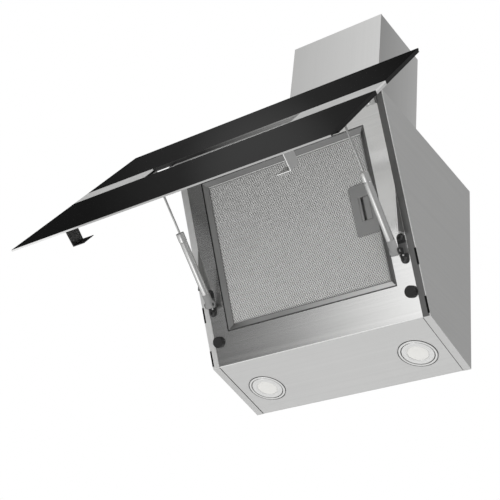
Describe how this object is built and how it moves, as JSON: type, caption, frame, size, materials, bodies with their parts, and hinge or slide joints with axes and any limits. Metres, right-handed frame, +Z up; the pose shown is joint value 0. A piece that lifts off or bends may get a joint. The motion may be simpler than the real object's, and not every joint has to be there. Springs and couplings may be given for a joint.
{
  "type": "angled range hood",
  "caption": "Slanted wall range hood with a split black glass flap on gas struts, mesh filter, lamps, fan and a telescopic chimney.",
  "frame": {"origin": "on the wall face, in the middle of the width, level with the lower front edge of the body", "axes": "+Z up, +X to the right of a viewer facing the hood, +Y into the wall, the room on the -Y side"},
  "size_m": [0.8, 0.7673, 0.9945],
  "materials": {
    "brushed_steel": "brushed stainless",
    "bright_trim": "polished",
    "aluminium_frame": "brushed",
    "aluminium_mesh": "anodised",
    "zinc_plated": "zinc plated",
    "light_alloy": "plain",
    "chrome": "polished",
    "black_paint": "satin",
    "black_glass": "back-painted black glass",
    "black_plastic": "matte",
    "black_rubber": "matte",
    "grey_plastic": "matte",
    "lamp_lens": "opal"
  },
  "bodies": {
    "hood_body": {"back_panel": "brushed_steel", "left_side_panel": "brushed_steel", "right_side_panel": "brushed_steel", "top_panel": "brushed_steel", "front_panel": "brushed_steel", "light_panel": "brushed_steel", "filter_frame": "aluminium_frame", "filter_mesh": "aluminium_mesh", "filter_core": "aluminium_mesh", "filter_handle": "grey_plastic", "catch_magnets": "black_rubber", "strut_mount_left": "black_paint", "strut_mount_right": "black_paint", "strut_gusset_left": "brushed_steel", "strut_gusset_right": "brushed_steel", "bracket_screws": "black_paint", "hinge_bracket_left": "zinc_plated", "hinge_bracket_right": "zinc_plated", "hinge_pins": "chrome", "hinge_screws": "chrome", "lamp_bezel_left": "bright_trim", "lamp_bezel_right": "bright_trim", "lamp_lenses": "lamp_lens", "lamp_housings": "zinc_plated", "fan_housing": "zinc_plated", "fan_inlet_cover": "zinc_plated", "fan_feet": "black_rubber", "motor": "black_paint", "outlet_collar": "zinc_plated", "damper_rod": "zinc_plated", "lower_chimney": "brushed_steel", "control_box": "black_plastic", "cable_gland": "black_plastic"},
    "fan_wheel": {"impeller": "light_alloy", "motor_shaft": "chrome"},
    "filter_catch": {"filter_latch": "grey_plastic"},
    "front_damper": {"damper_flap_front": "light_alloy"},
    "rear_damper": {"damper_flap_rear": "light_alloy"},
    "sliding_chimney": {"upper_chimney": "brushed_steel", "chimney_bracket": "zinc_plated"},
    "glass_flap": {"flap_carrier": "black_paint", "upper_glass": "black_glass", "lower_glass": "black_glass", "gap_trims": "bright_trim", "touch_board": "black_plastic", "striker_left": "brushed_steel", "striker_right": "brushed_steel", "hinge_arm_left": "black_paint", "hinge_arm_right": "black_paint", "strut_lug_left": "zinc_plated", "strut_lug_right": "zinc_plated"},
    "left_strut_tube": {"strut_end_left": "grey_plastic", "strut_tube_left": "brushed_steel"},
    "right_strut_tube": {"strut_end_right": "grey_plastic", "strut_tube_right": "brushed_steel"},
    "left_strut_rod": {"strut_rod_left": "chrome", "rod_socket_left": "black_plastic"},
    "right_strut_rod": {"strut_rod_right": "chrome", "rod_socket_right": "black_plastic"}
  },
  "joints": [
    {"name": "flap_hinge", "type": "hinge", "parent": "hood_body", "child": "glass_flap", "pos_m": [0, -0.43707, 0.44826], "axis": [1, 0, 0], "range_deg": [0, 61.2]},
    {"name": "left_strut_swing", "type": "hinge", "parent": "hood_body", "child": "left_strut_tube", "pos_m": [-0.25, -0.27875, 0.12102], "axis": [1, 0, 0], "range_deg": [-19.7, 0]},
    {"name": "left_strut_slide", "type": "slide", "parent": "left_strut_tube", "child": "left_strut_rod", "axis": [0, -0.7664, 0.6423], "range_m": [-0.1209, 0]},
    {"name": "right_strut_swing", "type": "hinge", "parent": "hood_body", "child": "right_strut_tube", "pos_m": [0.25, -0.27875, 0.12102], "axis": [1, 0, 0], "range_deg": [-19.7, 0]},
    {"name": "right_strut_slide", "type": "slide", "parent": "right_strut_tube", "child": "right_strut_rod", "axis": [0, -0.7664, 0.6423], "range_m": [-0.1209, 0]},
    {"name": "impeller_spin", "type": "hinge", "parent": "hood_body", "child": "fan_wheel", "pos_m": [-0.02, -0.1, 0.2], "axis": [0, -1, 0], "continuous": true},
    {"name": "front_damper_hinge", "type": "hinge", "parent": "hood_body", "child": "front_damper", "pos_m": [0, -0.101, 0.478], "axis": [-1, 0, 0], "range_deg": [0, 75]},
    {"name": "rear_damper_hinge", "type": "hinge", "parent": "hood_body", "child": "rear_damper", "pos_m": [0, -0.101, 0.478], "axis": [1, 0, 0], "range_deg": [0, 75]},
    {"name": "chimney_slide", "type": "slide", "parent": "hood_body", "child": "sliding_chimney", "axis": [0, 0, 1], "range_m": [0, 0.36]},
    {"name": "latch_slide", "type": "slide", "parent": "hood_body", "child": "filter_catch", "axis": [-1, 0, 0], "range_m": [0, 0.008], "stiffness_N_per_m": 300}
  ],
  "couplings": [
    {"joint": "left_strut_swing", "follows": "flap_hinge", "ratio": -0.32101},
    {"joint": "left_strut_slide", "follows": "flap_hinge", "m_per_rad": -0.11314},
    {"joint": "right_strut_swing", "follows": "flap_hinge", "ratio": -0.32101},
    {"joint": "right_strut_slide", "follows": "flap_hinge", "m_per_rad": -0.11314}
  ]
}
